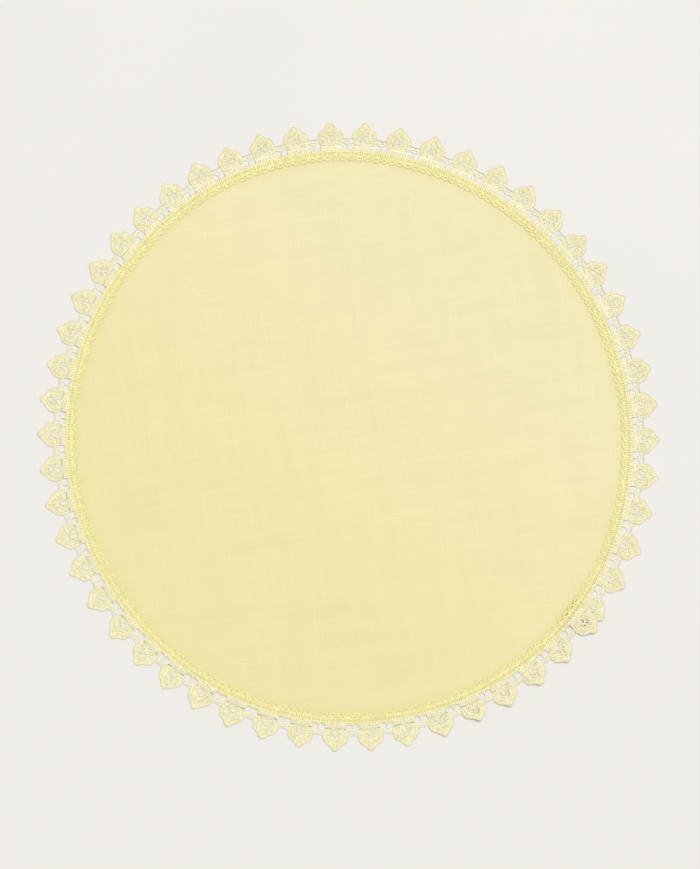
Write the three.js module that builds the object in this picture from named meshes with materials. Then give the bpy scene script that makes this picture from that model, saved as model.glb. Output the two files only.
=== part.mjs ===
// Round linen placemat with an openwork lace edging, lying flat.
// Millimetres, +Z up. The underside of the mat is the plane z = 0.
// The lace is one strip that runs once round the panel, and its two ends lap at the lower right.
import * as THREE from 'three';

// Cloth and how it is stacked
const CLOTH_THICKNESS = 1.0;
const PIECE_GAP = 0.3;
const BAND_LIFT = CLOTH_THICKNESS + PIECE_GAP;
const LAP_LIFT = CLOTH_THICKNESS + 0.8;

// Linen panel: a mean radius and the slow waves that make it slightly uneven
const PANEL_RADIUS = 172.9;
const PANEL_SIDES = 72;
const PANEL_WAVES = [
  { lobes: 2, rise: 1.5, peakDeg: 112 },
  { lobes: 3, rise: 0.55, peakDeg: 95 },
  { lobes: 5, rise: 0.3, peakDeg: 37 },
];

// Lace edging: where its heads stand round the panel
const HEAD_COUNT = 54;
const FIRST_HEAD_DEG = 324.75;
const LAST_HEAD_DEG = 321.75 + 360;
const FEED_WAVES = [
  { halfTurns: 2, shiftDeg: 1.2 },
  { halfTurns: 3, shiftDeg: 0.45 },
];

// Lace edging: distances outward from the panel's edge
const SCALLOPS_PER_HEAD = 4;
const SCALLOP_NOTCH = -5.4;
const SCALLOP_CROWN = -6.9;
const RAMP_START = 0.6;
const RAMP_END = 1.6;
const BRIDGE_TOP = 6.0;

// One head of the lace, right half, from the bridge up to the pointed tip
const HEAD_OUTLINE = [
  { across: 7.5, out: 6.3 },
  { across: 7.6, out: 8.8 },
  { across: 6.2, out: 11.2 },
  { across: 2.9, out: 13.2 },
];
const HEAD_TIP = { across: 0, out: 17.0 };

// The arched opening inside a head, right half, from its foot up to its point
const ARCH_OPENING = [
  { across: 2.6, out: 3.7 },
  { across: 3.7, out: 5.3 },
  { across: 2.3, out: 7.6 },
];
const ARCH_POINT = { across: 0, out: 9.3 };

// The opening between a head and the leg that stands midway to the next head
const LEG_HALF_WIDTH = 0.5;
const SIDE_OPENING_LOW = 2.5;
const SIDE_OPENING_HIGH = 4.2;
const SIDE_OPENING_HEAD = [
  { across: 7.4, out: 4.5 },
  { across: 6.7, out: 3.8 },
  { across: 5.2, out: SIDE_OPENING_LOW },
];

// Heads at the lower right that curl up off the table, by head number from the strip's start
const HEADS_LIE_FLAT_BELOW = 3.0;
const RUMPLED_HEADS = new Map([
  [0, { reach: 0.88, raise: 1.0, lean: -1.2 }],
  [1, { reach: 0.95, raise: 0.8, lean: -0.6 }],
  [48, { reach: 0.97, raise: 0.8, lean: 0.4 }],
  [49, { reach: 0.84, raise: 2.8, lean: 1.4 }],
  [50, { reach: 0.9, raise: 2.4, lean: -1.0 }],
  [51, { reach: 0.88, raise: 2.6, lean: -0.8 }],
  [52, { reach: 0.9, raise: 2.2, lean: -0.8 }],
  [53, { reach: 0.92, raise: 1.8, lean: 0.6 }],
]);
const FLAT_HEAD = { reach: 1.0, raise: 0.0, lean: 0.0 };

const HEAD_PITCH = THREE.MathUtils.degToRad((LAST_HEAD_DEG - FIRST_HEAD_DEG) / (HEAD_COUNT - 1));

// Radius of the panel's edge at an angle in radians.
function panelRadius(angle) {
  let radius = PANEL_RADIUS;
  for (const wave of PANEL_WAVES) {
    radius += wave.rise * Math.cos(wave.lobes * (angle - THREE.MathUtils.degToRad(wave.peakDeg)));
  }
  return radius;
}

// Angle of a place along the lace, counted in heads from the strip's first head.
function stripAngle(along) {
  let degrees = FIRST_HEAD_DEG;
  for (const wave of FEED_WAVES) {
    degrees += wave.shiftDeg * Math.sin(wave.halfTurns * Math.PI * along / (HEAD_COUNT - 1));
  }
  return THREE.MathUtils.degToRad(degrees) + HEAD_PITCH * along;
}

// The strip's last head lies on its first, so the strip climbs by one layer just before the lap.
function lapLift(along) {
  const climbStart = HEAD_COUNT - 2.5;
  return LAP_LIFT * THREE.MathUtils.clamp(along - climbStart, 0, 1);
}

// Height of the lace's underside: on the panel, down the ramp at its edge, then on the table.
function restHeight(out) {
  return THREE.MathUtils.mapLinear(
    THREE.MathUtils.clamp(out, RAMP_START, RAMP_END), RAMP_START, RAMP_END, BAND_LIFT, 0);
}

// Underside point for a place on the flat lace: heads along the strip, millimetres outward.
function layLace({ x: along, y: out }) {
  const head = THREE.MathUtils.clamp(Math.round(along), 0, HEAD_COUNT - 1);
  const { reach, raise, lean } = RUMPLED_HEADS.get(head) ?? FLAT_HEAD;
  const awayFromBridge = 1 - Math.abs(2 * (along - head)) ** 4;
  const height = Math.max(out - HEADS_LIE_FLAT_BELOW, 0) * awayFromBridge;
  const tipShare = height / (HEAD_TIP.out - HEADS_LIE_FLAT_BELOW);
  const angle = stripAngle(along);
  const radius = panelRadius(angle) + out - (1 - reach) * height;
  const turned = angle + lean * tipShare / radius;
  return new THREE.Vector3(
    radius * Math.cos(turned),
    radius * Math.sin(turned),
    restHeight(out) + lapLift(along) + raise * tipShare ** 2);
}

// A place on head number `head`: millimetres across it and outward, as heads along the strip.
function onHead(head, across, out) {
  return new THREE.Vector2(head + across / ((PANEL_RADIUS + out) * HEAD_PITCH), out);
}

// Both halves of a symmetric outline: right side, then the top point, then the left side.
function bothSides(head, half, top) {
  const right = half.map(({ across, out }) => onHead(head, across, out));
  const left = half.map(({ across, out }) => onHead(head, -across, out)).reverse();
  return [...right, onHead(head, top.across, top.out), ...left];
}

// Points straight along the strip at one distance, across one head.
function alongHead(head, out) {
  return [-0.5, 0, 0.5].map((share) => new THREE.Vector2(head + share, out));
}

// The part of the lace that lies on the panel, with its scalloped inner edge.
function bandPatch(head) {
  const inner = [];
  const steps = 2 * SCALLOPS_PER_HEAD;
  for (let step = 0; step <= steps; step += 1) {
    const out = step % 2 === 0 ? SCALLOP_NOTCH : SCALLOP_CROWN;
    inner.push(new THREE.Vector2(head - 0.5 + step / steps, out));
  }
  return { outline: [...inner, ...alongHead(head, RAMP_START).reverse()], holes: [] };
}

// The slope that brings the lace down off the panel's edge.
function rampPatch(head) {
  return { outline: [...alongHead(head, RAMP_START), ...alongHead(head, RAMP_END).reverse()], holes: [] };
}

// The opening beside a leg: side is 1 right of the head and -1 left of it.
function sideOpening(head, side) {
  const legShare = (out) => 0.5 - LEG_HALF_WIDTH / ((PANEL_RADIUS + out) * HEAD_PITCH);
  return [
    new THREE.Vector2(head + side * legShare(SIDE_OPENING_LOW), SIDE_OPENING_LOW),
    new THREE.Vector2(head + side * legShare(SIDE_OPENING_HIGH), SIDE_OPENING_HIGH),
    ...SIDE_OPENING_HEAD.map(({ across, out }) => onHead(head, side * across, out)),
  ];
}

// The part of the lace that stands past the panel: one head, half a bridge each side, and openings.
function headPatch(head) {
  return {
    outline: [
      ...alongHead(head, RAMP_END),
      new THREE.Vector2(head + 0.5, BRIDGE_TOP),
      ...bothSides(head, HEAD_OUTLINE, HEAD_TIP),
      new THREE.Vector2(head - 0.5, BRIDGE_TOP),
    ],
    holes: [bothSides(head, ARCH_OPENING, ARCH_POINT), sideOpening(head, 1), sideOpening(head, -1)],
  };
}

// A closed sheet from flat patches that meet point to point. Every patch gives an underside and
// a top face, and each edge that only one triangle uses gets a wall.
function sheetGeometry(patches, place, thickness) {
  const numbers = new Map();
  const undersides = [];
  const pointNumber = (point) => {
    const key = `${point.x.toFixed(6)} ${point.y.toFixed(6)}`;
    if (!numbers.has(key)) {
      numbers.set(key, undersides.length);
      undersides.push(place(point));
    }
    return numbers.get(key);
  };

  const triangles = [];
  for (const { outline, holes } of patches) {
    const rims = [outline, ...holes].map((rim) => rim.map(pointNumber));
    const [outer, ...inner] = rims.map((rim) => rim.map((number) => undersides[number]));
    const corners = rims.flat();
    for (const triple of THREE.ShapeUtils.triangulateShape(outer, inner)) {
      const triangle = triple.map((corner) => corners[corner]);
      const facesUp = THREE.ShapeUtils.area(triangle.map((number) => undersides[number])) > 0;
      triangles.push(facesUp ? triangle : triangle.reverse());
    }
  }

  const edgeUses = new Set();
  for (const [a, b, c] of triangles) {
    edgeUses.add(`${a} ${b}`).add(`${b} ${c}`).add(`${c} ${a}`);
  }
  const topOf = undersides.length;
  const index = [];
  for (const [a, b, c] of triangles) {
    index.push(topOf + a, topOf + b, topOf + c, c, b, a);
    for (const [from, to] of [[a, b], [b, c], [c, a]]) {
      if (!edgeUses.has(`${to} ${from}`)) {
        index.push(from, to, topOf + to, from, topOf + to, topOf + from);
      }
    }
  }

  const tops = undersides.map((point) => point.clone().setZ(point.z + thickness));
  const geometry = new THREE.BufferGeometry().setFromPoints([...undersides, ...tops]);
  geometry.setIndex(index);
  geometry.computeVertexNormals();
  return geometry;
}

function linenPanel() {
  const rim = [];
  for (let side = 0; side < PANEL_SIDES; side += 1) {
    const angle = 2 * Math.PI * side / PANEL_SIDES;
    const radius = panelRadius(angle);
    rim.push(new THREE.Vector2(radius * Math.cos(angle), radius * Math.sin(angle)));
  }
  const settings = { depth: CLOTH_THICKNESS, bevelEnabled: false };
  return new THREE.ExtrudeGeometry(new THREE.Shape(rim), settings);
}

function laceEdging() {
  const patches = [];
  for (let head = 0; head < HEAD_COUNT; head += 1) {
    patches.push(bandPatch(head), rampPatch(head), headPatch(head));
  }
  return sheetGeometry(patches, layLace, CLOTH_THICKNESS);
}

function namedMesh(name, geometry, material) {
  const mesh = new THREE.Mesh(geometry, material);
  mesh.name = name;
  return mesh;
}

const linenCloth = new THREE.MeshStandardMaterial({ color: 0xf1e7b1, roughness: 0.9, metalness: 0 });
const laceYarn = new THREE.MeshStandardMaterial({ color: 0xf3ebaa, roughness: 0.7, metalness: 0 });

const placemat = new THREE.Group();
placemat.add(namedMesh('linen_panel', linenPanel(), linenCloth));
placemat.add(namedMesh('lace_edging', laceEdging(), laceYarn));

// The origin is under the middle of the whole mat.
const middle = new THREE.Box3().setFromObject(placemat).getCenter(new THREE.Vector3());
placemat.position.set(-middle.x, -middle.y, 0);

export default placemat;
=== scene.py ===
"""A round linen placemat with an openwork lace edging, lying flat on a pale table.

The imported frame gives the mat's place and size, in metres. The linen is one closed sheet with its
hem turned under. The lace is worked as a real edging is: corded outlines covered in satin stitches,
thin bars between them, and a line of machine stitches that holds the edging on the linen.
"""

import logging
import math
from dataclasses import dataclass, field
from enum import Enum

import bpy
import numpy as np
from bpy.types import Material, Mesh, Node, NodeSocket, NodeTree, Object
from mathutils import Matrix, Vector
from mathutils.geometry import delaunay_2d_cdt


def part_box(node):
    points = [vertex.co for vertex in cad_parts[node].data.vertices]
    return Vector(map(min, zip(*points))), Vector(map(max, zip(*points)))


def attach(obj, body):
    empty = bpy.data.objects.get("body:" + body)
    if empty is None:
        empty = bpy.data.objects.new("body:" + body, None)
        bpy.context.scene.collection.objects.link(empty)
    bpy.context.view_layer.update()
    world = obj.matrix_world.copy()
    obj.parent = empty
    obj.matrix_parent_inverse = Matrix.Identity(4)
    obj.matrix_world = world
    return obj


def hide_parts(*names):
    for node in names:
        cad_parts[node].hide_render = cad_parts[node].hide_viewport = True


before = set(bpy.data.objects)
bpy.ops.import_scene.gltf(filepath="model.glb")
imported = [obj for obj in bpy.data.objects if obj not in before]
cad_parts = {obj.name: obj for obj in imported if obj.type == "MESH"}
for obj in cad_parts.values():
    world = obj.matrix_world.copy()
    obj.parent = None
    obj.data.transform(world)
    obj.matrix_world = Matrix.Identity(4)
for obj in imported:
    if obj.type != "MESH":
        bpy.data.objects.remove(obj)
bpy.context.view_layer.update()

MM = 0.001
log = logging.getLogger("placemat")


class Mirror(Enum):
    """The two halves of a head, either side of its middle line."""

    RIGHT = 1
    LEFT = -1


class Chance(Enum):
    """What a thread's random value is for, with the number that keeps it apart from the others."""

    TURN = 1
    WIDTH = 2
    CROWN = 3
    TONE = 4


class Wiring:
    """Adds nodes to one node tree and wires them together."""

    def __init__(self, tree: NodeTree) -> None:
        """Keeps the tree that the nodes go into."""
        self.tree = tree

    @staticmethod
    def find(sockets: bpy.types.bpy_prop_collection, key: int | str) -> NodeSocket:
        """Finds a node's socket by its identifier, or else by its place or name."""
        exact = [socket for socket in sockets if socket.identifier == key]
        return exact[0] if exact else sockets[key]

    def feed(self, socket: NodeSocket, value: object) -> None:
        """Wires a socket to an output, or gives it a plain value.

        Args:
            socket: The input to feed.
            value: Another node's output socket, or a number, colour or material.
        """
        if isinstance(value, NodeSocket):
            self.tree.links.new(value, socket)
        else:
            socket.default_value = value

    def add(self, kind: str, inputs: dict | None = None, **settings: object) -> Node:
        """Adds one node.

        Args:
            kind: The node's type name.
            inputs: What feeds its inputs, by identifier, place or name.
            settings: The node's own options.

        Returns:
            The new node.
        """
        node = self.tree.nodes.new(kind)
        for name, value in settings.items():
            setattr(node, name, value)
        for key, value in (inputs or {}).items():
            self.feed(self.find(node.inputs, key), value)
        return node

    def get(self, kind: str, inputs: dict | None = None, **settings: object) -> NodeSocket:
        """Adds one node and returns its first output."""
        return self.add(kind, inputs, **settings).outputs[0]

    def math(self, operation: str, *values: object) -> NodeSocket:
        """Adds a Math node on the given values and returns its result."""
        return self.get("ShaderNodeMath", dict(enumerate(values)), operation=operation)

    def weigh(self, *parts: tuple[NodeSocket, float]) -> NodeSocket:
        """Adds values up, each multiplied by its weight.

        Args:
            parts: The values and their weights.

        Returns:
            The socket that gives the sum.
        """
        total = 0.0
        for value, weight in parts:
            total = self.math("MULTIPLY_ADD", value, weight, total)
        return total

    def remap(self, value: NodeSocket, source: tuple, target: tuple = (0.0, 1.0)) -> NodeSocket:
        """Moves a value smoothly from one range to another."""
        inputs = dict(enumerate((value, *source, *target)))
        return self.get("ShaderNodeMapRange", inputs, interpolation_type="SMOOTHSTEP")

    def mix_colour(self, share: object, first: object, second: object, blend: str = "MIX") -> NodeSocket:
        """Blends the given share of a second colour into a first one."""
        inputs = {0: share, 6: first, 7: second}
        return self.add("ShaderNodeMix", inputs, data_type="RGBA", blend_type=blend).outputs[2]

    def tint(self, share: object, colour: object, low: tuple, high: tuple) -> NodeSocket:
        """Multiplies a colour by a tint that goes from low to high as the share goes from 0 to 1."""
        return self.mix_colour(1.0, colour, self.mix_colour(share, (*low, 1), (*high, 1)), "MULTIPLY")

    def noise(self, place: object, scale: object, detail: float) -> NodeSocket:
        """Adds smooth noise from 0 to 1, with the given number of finer layers."""
        return self.get("ShaderNodeTexNoise", {"Vector": place, "Scale": scale, "Detail": detail})


@dataclass(frozen=True)
class Port:
    """One named socket on the outside of a node tree.

    Attributes:
        name: The socket's name.
        kind: The socket's type, without its common prefix.
        default: Its value where nothing feeds it.
    """

    name: str
    kind: str = "Float"
    default: object = None


class NodeGroup:
    """A node tree with named sockets, open for wiring."""

    def __init__(self, name: str, kind: str, inputs: list[Port], outputs: list[Port]) -> None:
        """Makes the empty tree.

        Args:
            name: The tree's name.
            kind: GeometryNodeTree or ShaderNodeTree.
            inputs: Its input sockets.
            outputs: Its output sockets.
        """
        self.tree = bpy.data.node_groups.new(name, kind)
        for side, ports in (("INPUT", inputs), ("OUTPUT", outputs)):
            for port in ports:
                socket = self.tree.interface.new_socket(
                    port.name, in_out=side, socket_type=f"NodeSocket{port.kind}")
                if port.default is not None:
                    socket.default_value = port.default
        self.wiring = Wiring(self.tree)
        self.given = self.wiring.add("NodeGroupInput").outputs
        self.result = self.wiring.add("NodeGroupOutput").inputs

    def place_in(self, wiring: Wiring, inputs: dict) -> bpy.types.bpy_prop_collection:
        """Places this group in a material's tree, feeds it by socket name and returns its outputs."""
        return wiring.add("ShaderNodeGroup", inputs, node_tree=self.tree).outputs


def link_piece(name: str, mesh: Mesh) -> Object:
    """Puts a mesh in the scene as an object at the origin.

    Args:
        name: The object's name.
        mesh: Its mesh.

    Returns:
        The new object.
    """
    piece = bpy.data.objects.new(name, mesh)
    bpy.context.scene.collection.objects.link(piece)
    return piece


def seat_piece(piece: Object, node: str) -> None:
    """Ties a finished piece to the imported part.

    Args:
        piece: The finished object.
        node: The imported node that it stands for.
    """
    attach(piece, "root")
    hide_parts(node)
    piece.data.calc_loop_triangles()
    log.info("%s: %d triangles", piece.name, len(piece.data.loop_triangles))


def ease(value: np.ndarray, start: float, end: float) -> np.ndarray:
    """Goes smoothly from 0 at the start to 1 at the end."""
    share = np.clip((value - start) / (end - start), 0, 1)
    return share * share * (3 - 2 * share)


@dataclass(frozen=True)
class Wave:
    """One slow wave of the panel's outline.

    Attributes:
        lobes: How many crests it has round the panel.
        rise: How far a crest stands out.
        peak: The angle of one crest.
    """

    lobes: int
    rise: float
    peak: float


@dataclass(frozen=True)
class PanelOutline:
    """The slightly uneven round edge of the linen panel.

    Attributes:
        mean_radius: The radius without its waves.
        waves: The slow waves of the radius.
        samples: How many points measure its breadth.
    """

    mean_radius: float = 172.9 * MM
    waves: tuple[Wave, ...] = (
        Wave(2, 1.5 * MM, math.radians(112)),
        Wave(3, 0.55 * MM, math.radians(95)),
        Wave(5, 0.3 * MM, math.radians(37)),
    )
    samples: int = 721

    def radius(self, angle: np.ndarray) -> np.ndarray:
        """Gives the radius of the edge at each angle."""
        rises = [wave.rise * np.cos(wave.lobes * (angle - wave.peak)) for wave in self.waves]
        return self.mean_radius + sum(rises)

    def pole(self) -> np.ndarray:
        """Finds where the radii start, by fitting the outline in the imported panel's box.

        Returns:
            Its x and y.
        """
        low, high = (np.array(corner)[:2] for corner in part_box("linen_panel"))
        angle = np.linspace(0, math.tau, self.samples)
        edge = self.radius(angle) * np.stack([np.cos(angle), np.sin(angle)])
        return (low + high) / 2 - (edge.min(axis=1) + edge.max(axis=1)) / 2


@dataclass(frozen=True)
class Settle:
    """How one head of the lace has settled on the table.

    Attributes:
        reach: The share of its length that shows from above.
        lift: How high its tip is curled up.
        lean: How far its tip leans along the edging.
    """

    reach: float = 1.0
    lift: float = 0.0
    lean: float = 0.0


@dataclass
class LaceStrip:
    """The flat lace, laid once round the panel with its ends lapped.

    A place on the flat lace is given in heads along it, metres outward from the panel's edge, and
    metres above its underside.

    Attributes:
        outline: The panel's edge, which the lace follows.
        head_count: How many heads it has.
        first_angle: Where its first head stands.
        last_angle: Where its last head stands, one turn on.
        feed: The slow waves of the sewing feed: half turns, and how far they shift the heads.
        tip: How far a head reaches out.
        flat_below: Where a head starts to be free to curl.
        on_linen: The height of its underside on the linen.
        on_table: The height of its underside on the table.
        slope: Where it comes down off the linen's edge, from and to.
        lap_lift: How far the last head is lifted by the first one under it.
        lap_climb: Where the lace climbs onto its own start, from and to, in heads along it.
        curled: The heads that have curled or turned, by number.
        unrest: How far any head strays: in reach, lift and lean.
        probe: How far apart the points are that its facing is measured from.
        seed: The seed of the heads' small differences.
    """

    outline: PanelOutline
    head_count: int = 54
    first_angle: float = math.radians(324.75)
    last_angle: float = math.radians(321.75 + 360)
    feed: tuple = ((2, math.radians(1.2)), (3, math.radians(0.45)))
    tip: float = 17.0 * MM
    flat_below: float = 3.0 * MM
    on_linen: float = 0.8 * MM
    on_table: float = 0.05 * MM
    slope: tuple = (0.2 * MM, 4.6 * MM)
    lap_lift: float = 1.15 * MM
    lap_climb: tuple = (52.3, 53.0)
    curled: dict = field(default_factory=lambda: {
        0: Settle(0.88, 0.4 * MM, -1.2 * MM),
        1: Settle(0.95, 0.8 * MM, -0.6 * MM),
        48: Settle(0.97, 0.8 * MM, 0.4 * MM),
        49: Settle(0.84, 2.8 * MM, 1.4 * MM),
        50: Settle(0.90, 2.4 * MM, -1.0 * MM),
        51: Settle(0.88, 2.6 * MM, -0.8 * MM),
        52: Settle(0.90, 2.2 * MM, -0.8 * MM),
        53: Settle(0.92, 1.8 * MM, 0.6 * MM),
    })
    unrest: Settle = Settle(0.012, 0.5 * MM, 0.35 * MM)
    probe: float = 0.2 * MM
    seed: int = 11

    def __post_init__(self) -> None:
        """Works out the pitch, the pole, and each head's settling."""
        self.pitch = (self.last_angle - self.first_angle) / (self.head_count - 1)
        self.pole = self.outline.pole()
        stray = np.random.default_rng(self.seed)
        settles = [self.curled.get(head, Settle()) for head in range(self.head_count)]
        count = self.head_count
        self.reach = np.array([s.reach for s in settles]) - self.unrest.reach * stray.random(count)
        self.lift = np.array([s.lift for s in settles]) + self.unrest.lift * stray.random(count) ** 2
        self.lean = np.array([s.lean for s in settles]) + self.unrest.lean * stray.normal(size=count)

    def angle(self, along: np.ndarray) -> np.ndarray:
        """Gives the angle round the panel of a place along the lace.

        Args:
            along: Heads along the lace.

        Returns:
            The angle at each place.
        """
        angle = self.first_angle + self.pitch * along
        for half_turns, shift in self.feed:
            angle = angle + shift * np.sin(half_turns * math.pi * along / (self.head_count - 1))
        return angle

    def on_head(self, head: float, across: np.ndarray, out: np.ndarray) -> np.ndarray:
        """Gives the place along the lace of a point that lies so far across a head."""
        return head + across / ((self.outline.mean_radius + out) * self.pitch)

    def place(self, along: np.ndarray, out: np.ndarray, height: np.ndarray | float) -> np.ndarray:
        """Lays points of the flat lace round the panel.

        Args:
            along: Heads along the lace.
            out: Metres outward from the panel's edge.
            height: Metres above the lace's underside.

        Returns:
            One row of x, y and z for each point.
        """
        head = np.clip(np.rint(along), 0, self.head_count - 1).astype(int)
        free = np.maximum(out - self.flat_below, 0) * (1 - np.abs(2 * (along - head)) ** 4)
        share = free / (self.tip - self.flat_below)
        angle = self.angle(along)
        radius = self.outline.radius(angle) + out - (1 - self.reach[head]) * free
        turned = angle + self.lean[head] * share / radius
        z = self.on_linen + (self.on_table - self.on_linen) * ease(out, *self.slope)
        z = z + self.lap_lift * ease(along, *self.lap_climb) + self.lift[head] * share ** 2 + height
        x = self.pole[0] + radius * np.cos(turned)
        y = self.pole[1] + radius * np.sin(turned)
        return np.stack([x, y, z], axis=-1)

    def upward(self, along: np.ndarray, out: np.ndarray) -> np.ndarray:
        """Gives the direction in which the laid lace faces at each point.

        Args:
            along: Heads along the lace.
            out: Metres outward from the panel's edge.

        Returns:
            One unit vector for each point.
        """
        turn = self.probe / (self.outline.mean_radius * self.pitch)
        sideways = self.place(along + turn, out, 0.0) - self.place(along - turn, out, 0.0)
        outward = self.place(along, out + self.probe, 0.0) - self.place(along, out - self.probe, 0.0)
        facing = np.cross(outward, sideways)
        return facing / np.linalg.norm(facing, axis=1, keepdims=True)


@dataclass
class Cord:
    """One line of the lace, on the flat strip.

    Attributes:
        along: Heads along the lace, point by point.
        out: Metres outward from the panel's edge.
        half_width: Half of the cord's width.
        rise: How far the cord lies above the lace's underside.
        closed: Whether its end meets its start.
    """

    along: np.ndarray
    out: np.ndarray
    half_width: np.ndarray
    rise: float
    closed: bool = False


class LineTree(NodeGroup):
    """Geometry Nodes that work threads along lines, which carry their half width and facing."""

    THREAD_SIDES = 4

    def __init__(self, name: str, sizes: list[Port]) -> None:
        """Makes the tree with its lines, sizes, seed and yarn as inputs.

        Args:
            name: The tree's name.
            sizes: The inputs that give its sizes.
        """
        inputs = [Port("Lines", "Geometry"), *sizes, Port("Seed", "Int", 5), Port("Yarn", "Material")]
        super().__init__(name, "GeometryNodeTree", inputs, [Port("Work", "Geometry")])

    def read(self, name: str, kind: str = "FLOAT") -> NodeSocket:
        """Reads a named value that the lines carry."""
        return self.wiring.get("GeometryNodeInputNamedAttribute", {"Name": name}, data_type=kind)

    def draw(self, low: object, high: object, chance: Chance) -> NodeSocket:
        """Draws a random value for each thread.

        Args:
            low: The lowest value.
            high: The highest value.
            chance: What the value is for.

        Returns:
            The socket that gives the value.
        """
        seed = self.wiring.math("ADD", self.given["Seed"], chance.value)
        inputs = {"Min_001": low, "Max_001": high, "Seed": seed}
        node = self.wiring.add("FunctionNodeRandomValue", inputs, data_type="FLOAT")
        return Wiring.find(node.outputs, "Value_001")

    def toned(self, threads: NodeSocket, domain: str) -> NodeSocket:
        """Gives each thread its own tone."""
        inputs = {"Geometry": threads, "Name": "tone", "Value": self.draw(0.0, 1.0, Chance.TONE)}
        return self.wiring.get("GeometryNodeStoreNamedAttribute", inputs, domain=domain)

    def smooth_line(self, step: object) -> NodeSocket:
        """Turns the lines into smooth curves with evenly spaced points.

        Args:
            step: How far apart the points are.

        Returns:
            The socket that gives the curves.
        """
        curve = self.wiring.get("GeometryNodeMeshToCurve", {"Mesh": self.given["Lines"]})
        smooth = self.wiring.get("GeometryNodeCurveSplineType", {"Curve": curve}, spline_type="CATMULL_ROM")
        return self.space_out(smooth, step)

    def space_out(self, curve: NodeSocket, step: object) -> NodeSocket:
        """Spaces a curve's points evenly, by the given step."""
        return self.wiring.get("GeometryNodeResampleCurve", {"Curve": curve, "Length": step}, mode="LENGTH")

    def arch(self, points: int, start: tuple, middle: tuple, end: tuple) -> NodeSocket:
        """Bends a thread over the line it is laid on, in so many steps."""
        inputs = {"Resolution": points, "Start": start, "Middle": middle, "End": end}
        return self.wiring.get("GeometryNodeCurveQuadraticBezier", inputs)

    def facing(self) -> NodeSocket:
        """Turns a thread to stand along the line and face away from the cloth.

        Returns:
            The socket that gives the rotation.
        """
        wiring = self.wiring
        up = {"Vector": self.read("up", "FLOAT_VECTOR")}
        upright = wiring.get("FunctionNodeAlignRotationToVector", up, axis="Z")
        ahead = {"Rotation": upright, "Vector": wiring.get("GeometryNodeInputTangent")}
        along = wiring.get("FunctionNodeAlignRotationToVector", ahead, axis="X", pivot_axis="Z")
        least = wiring.math("MULTIPLY", self.given["Stray"], -1.0)
        stray = {"Axis": (0.0, 0.0, 1.0), "Angle": self.draw(least, self.given["Stray"], Chance.TURN)}
        turn = {"Rotation": along, "Rotate By": wiring.get("FunctionNodeAxisAngleToRotation", stray)}
        return wiring.get("FunctionNodeRotateRotation", turn, rotation_space="LOCAL")

    def lay_threads(self, line: NodeSocket, thread: NodeSocket, size: dict) -> NodeSocket:
        """Lays one short thread at each point of a line, each with its own tone.

        Args:
            line: The evenly spaced curves.
            thread: The thread's own curve, one unit in size.
            size: What the thread's curve is scaled by, axis by axis.

        Returns:
            The socket that gives the threads' surfaces.
        """
        scale = self.wiring.get("ShaderNodeCombineXYZ", size)
        inputs = {"Points": line, "Instance": thread, "Rotation": self.facing(), "Scale": scale}
        placed = self.toned(self.wiring.get("GeometryNodeInstanceOnPoints", inputs), "INSTANCE")
        threads = self.wiring.get("GeometryNodeRealizeInstances", {"Geometry": placed})
        return self.sweep(threads, self.THREAD_SIDES, self.given["Thread Radius"], 1.0)

    def sweep(self, curve: NodeSocket, sides: int, radius: object, scale: object,
              flatness: object = (1.0, 1.0, 1.0)) -> NodeSocket:
        """Sweeps a round or flattened section along curves and closes its ends.

        Args:
            curve: The curves to follow.
            sides: How many sides the section has.
            radius: The section's radius.
            scale: What the section is scaled by at each point.
            flatness: How the section is scaled before it is swept.

        Returns:
            The socket that gives the surfaces.
        """
        inputs = {"Resolution": sides, "Radius": radius}
        circle = self.wiring.get("GeometryNodeCurvePrimitiveCircle", inputs)
        section = self.wiring.get("GeometryNodeTransform", {"Geometry": circle, "Scale": flatness})
        inputs = {"Curve": curve, "Profile Curve": section, "Scale": scale, "Fill Caps": True}
        return self.wiring.get("GeometryNodeCurveToMesh", inputs)

    def finish(self, *surfaces: NodeSocket) -> None:
        """Joins the surfaces, makes them smooth and real, and gives them their yarn.

        Args:
            surfaces: All that the tree has worked.
        """
        both = self.wiring.add("GeometryNodeJoinGeometry")
        for surface in surfaces:
            self.wiring.feed(both.inputs[0], surface)
        smooth = self.wiring.get("GeometryNodeSetShadeSmooth", {"Geometry": both.outputs[0]})
        real = self.wiring.get("GeometryNodeRealizeInstances", {"Geometry": smooth})
        inputs = {"Geometry": real, "Material": self.given["Yarn"]}
        self.wiring.feed(self.result[0], self.wiring.get("GeometryNodeSetMaterial", inputs))

    def work(self, name: str, cords: list[Cord], strip: LaceStrip, values: dict) -> Object:
        """Works the given cords and returns them as one plain mesh object.

        Args:
            name: The piece's name.
            cords: The lines to work.
            strip: How the flat lace is laid round the panel.
            values: The tree's inputs, by name.

        Returns:
            The finished object, with no modifier left on it.
        """
        piece = link_piece(name, self._lines(name, cords, strip))
        modifier = piece.modifiers.new(self.tree.name, "NODES")
        modifier.node_group = self.tree
        for item in self.tree.interface.items_tree:
            if item.in_out == "INPUT" and item.name in values:
                modifier[item.identifier] = values[item.name]
        graph = bpy.context.evaluated_depsgraph_get()
        made = bpy.data.meshes.new_from_object(
            piece.evaluated_get(graph), preserve_all_data_layers=True, depsgraph=graph)
        piece.modifiers.clear()
        made.name = name
        for spent in ("half_width", "up"):
            made.attributes.remove(made.attributes[spent])
        piece.data = made
        return piece

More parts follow.
